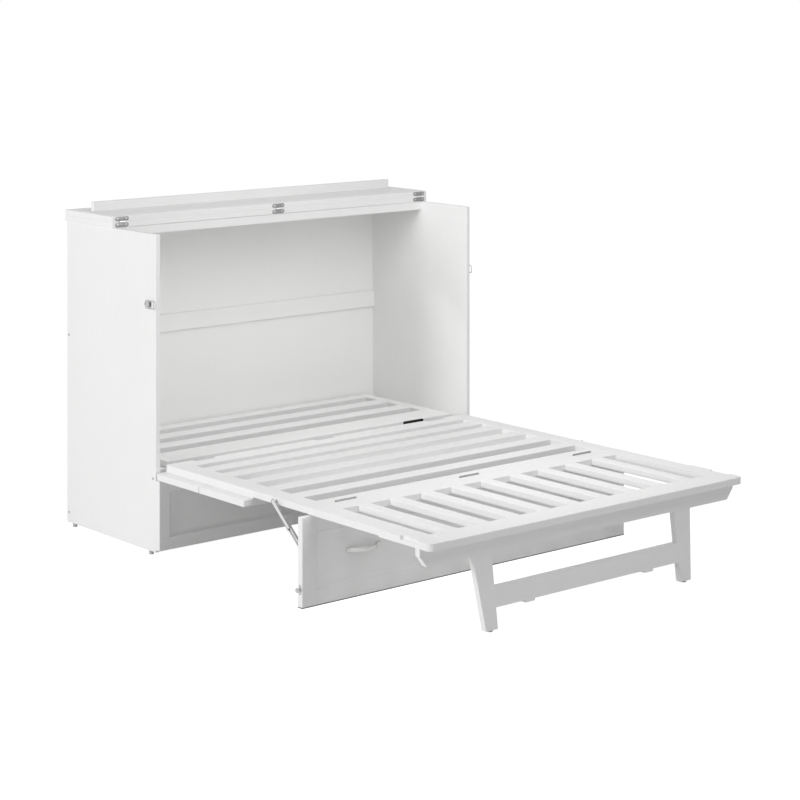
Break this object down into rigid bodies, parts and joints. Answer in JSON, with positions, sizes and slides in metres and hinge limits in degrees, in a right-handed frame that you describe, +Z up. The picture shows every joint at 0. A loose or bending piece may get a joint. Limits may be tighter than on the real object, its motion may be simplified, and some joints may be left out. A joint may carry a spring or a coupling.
{
  "type": "cabinet bed",
  "caption": "White cabinet bed shown open: a chest with a fold-back lid and a slatted platform that folds out in sections onto a support panel and hinged legs.",
  "frame": {"origin": "middle of the opened bed's footprint, on the floor", "axes": "+Z up, +Y from the foot of the bed towards the back of the cabinet, +X to the right seen from the foot"},
  "size_m": [1.439, 1.942, 1.154],
  "materials": {
    "painted_wood": "white satin paint",
    "back_board": "white satin paint",
    "steel": "zinc plated",
    "stay_metal": "satin",
    "hinge_metal": "dull plated",
    "handle_metal": "satin nickel",
    "glide_plastic": "matte"
  },
  "bodies": {
    "cabinet": {"left_side_panel": "painted_wood", "right_side_panel": "painted_wood", "back_panels": "back_board", "back_rails": "painted_wood", "fixed_top": "painted_wood", "top_front_rail": "painted_wood", "platform_bearers": "painted_wood", "cabinet_glides": "glide_plastic", "carcass_screws": "steel", "lower_front_frame": "painted_wood", "lower_front_infill": "painted_wood", "head_rails": "painted_wood", "head_slats": "painted_wood", "lid_hinge_fixed_leaves": "hinge_metal", "bed_hinge_fixed_leaves": "hinge_metal", "cabinet_hinge_pins": "steel", "latch_bases": "steel"},
    "lid": {"lid_board": "painted_wood", "lid_batten": "painted_wood", "lid_hinge_moving_leaves": "hinge_metal"},
    "middle_section": {"middle_side_rails": "painted_wood", "middle_rear_rail": "painted_wood", "middle_front_rail": "painted_wood", "middle_slats": "painted_wood", "facade_frames": "painted_wood", "facade_infills": "painted_wood", "facade_spacers": "painted_wood", "bed_hinge_moving_leaves": "hinge_metal", "fold_hinge_middle_leaves": "hinge_metal", "support_hinge_middle_leaves": "hinge_metal", "middle_hinge_pins": "steel"},
    "foot_section": {"foot_side_rails": "painted_wood", "foot_rear_rail": "painted_wood", "foot_front_rail": "painted_wood", "foot_slats": "painted_wood", "foot_rail": "painted_wood", "fold_hinge_foot_leaves": "hinge_metal", "leg_hinge_rail_leaves": "hinge_metal", "leg_hinge_pins": "steel"},
    "leg_frame": {"legs": "painted_wood", "leg_glides": "glide_plastic", "leg_cross_rail": "painted_wood", "leg_rest_pads": "painted_wood", "leg_hinge_leg_leaves": "hinge_metal"},
    "support_panel": {"support_frame": "painted_wood", "support_top_rail": "painted_wood", "support_infill": "painted_wood", "support_handles": "handle_metal", "latch_pegs": "steel", "support_hinge_panel_leaves": "hinge_metal", "stay_brackets": "steel"},
    "left_stay_channel_body": {"left_stay_channel": "stay_metal"},
    "left_stay_slide_body": {"left_stay_slide": "stay_metal"},
    "left_latch_lever_body": {"left_latch_lever": "steel"},
    "left_latch_loop_body": {"left_latch_loop": "steel"},
    "right_stay_channel_body": {"right_stay_channel": "stay_metal"},
    "right_stay_slide_body": {"right_stay_slide": "stay_metal"},
    "right_latch_lever_body": {"right_latch_lever": "steel"},
    "right_latch_loop_body": {"right_latch_loop": "steel"}
  },
  "joints": [
    {"name": "lid_fold", "type": "hinge", "parent": "cabinet", "child": "lid", "pos_m": [0, 0.6605, 1.1], "axis": [1, 0, 0], "range_deg": [0, 180]},
    {"name": "bed_lift", "type": "hinge", "parent": "cabinet", "child": "middle_section", "pos_m": [0, 0.405, 0.281], "axis": [-1, 0, 0], "range_deg": [0, 90]},
    {"name": "foot_fold", "type": "hinge", "parent": "middle_section", "child": "foot_section", "pos_m": [0, -0.3815, 0.3055], "axis": [-1, 0, 0], "range_deg": [0, 180]},
    {"name": "leg_fold", "type": "hinge", "parent": "foot_section", "child": "leg_frame", "pos_m": [0, -0.9015, 0.226], "axis": [1, 0, 0], "range_deg": [0, 97]},
    {"name": "support_fold", "type": "hinge", "parent": "middle_section", "child": "support_panel", "pos_m": [0, -0.379, 0.2795], "axis": [1, 0, 0], "range_deg": [0, 90]},
    {"name": "left_stay_swing", "type": "hinge", "parent": "support_panel", "child": "left_stay_channel_body", "pos_m": [-0.678, -0.367, 0.168], "axis": [1, 0, 0], "range_deg": [-126, 0]},
    {"name": "left_stay_slide", "type": "slide", "parent": "left_stay_channel_body", "child": "left_stay_slide_body", "axis": [0, -0.7644, -0.6447], "range_m": [0, 0.058]},
    {"name": "left_latch_swing", "type": "hinge", "parent": "cabinet", "child": "left_latch_lever_body", "pos_m": [-0.715, 0.439, 0.843], "axis": [0, 0, 1], "range_deg": [0, 150]},
    {"name": "left_loop_swing", "type": "hinge", "parent": "left_latch_lever_body", "child": "left_latch_loop_body", "pos_m": [-0.715, 0.455, 0.843], "axis": [0, 0, 1], "range_deg": [-150, 0]},
    {"name": "right_stay_swing", "type": "hinge", "parent": "support_panel", "child": "right_stay_channel_body", "pos_m": [0.678, -0.367, 0.168], "axis": [1, 0, 0], "range_deg": [-126, 0]},
    {"name": "right_stay_slide", "type": "slide", "parent": "right_stay_channel_body", "child": "right_stay_slide_body", "axis": [0, -0.7644, -0.6447], "range_m": [0, 0.058]},
    {"name": "right_latch_swing", "type": "hinge", "parent": "cabinet", "child": "right_latch_lever_body", "pos_m": [0.715, 0.439, 0.843], "axis": [0, 0, -1], "range_deg": [0, 150]},
    {"name": "right_loop_swing", "type": "hinge", "parent": "right_latch_lever_body", "child": "right_latch_loop_body", "pos_m": [0.715, 0.455, 0.843], "axis": [0, 0, -1], "range_deg": [-150, 0]}
  ],
  "couplings": [
    {"joint": "left_stay_swing", "follows": "support_fold", "ratio": -1.395},
    {"joint": "left_stay_slide", "follows": "support_fold", "m_per_rad": 0.0369},
    {"joint": "left_loop_swing", "follows": "left_latch_swing", "ratio": -1},
    {"joint": "right_stay_swing", "follows": "support_fold", "ratio": -1.395},
    {"joint": "right_stay_slide", "follows": "support_fold", "m_per_rad": 0.0369},
    {"joint": "right_loop_swing", "follows": "right_latch_swing", "ratio": -1}
  ]
}
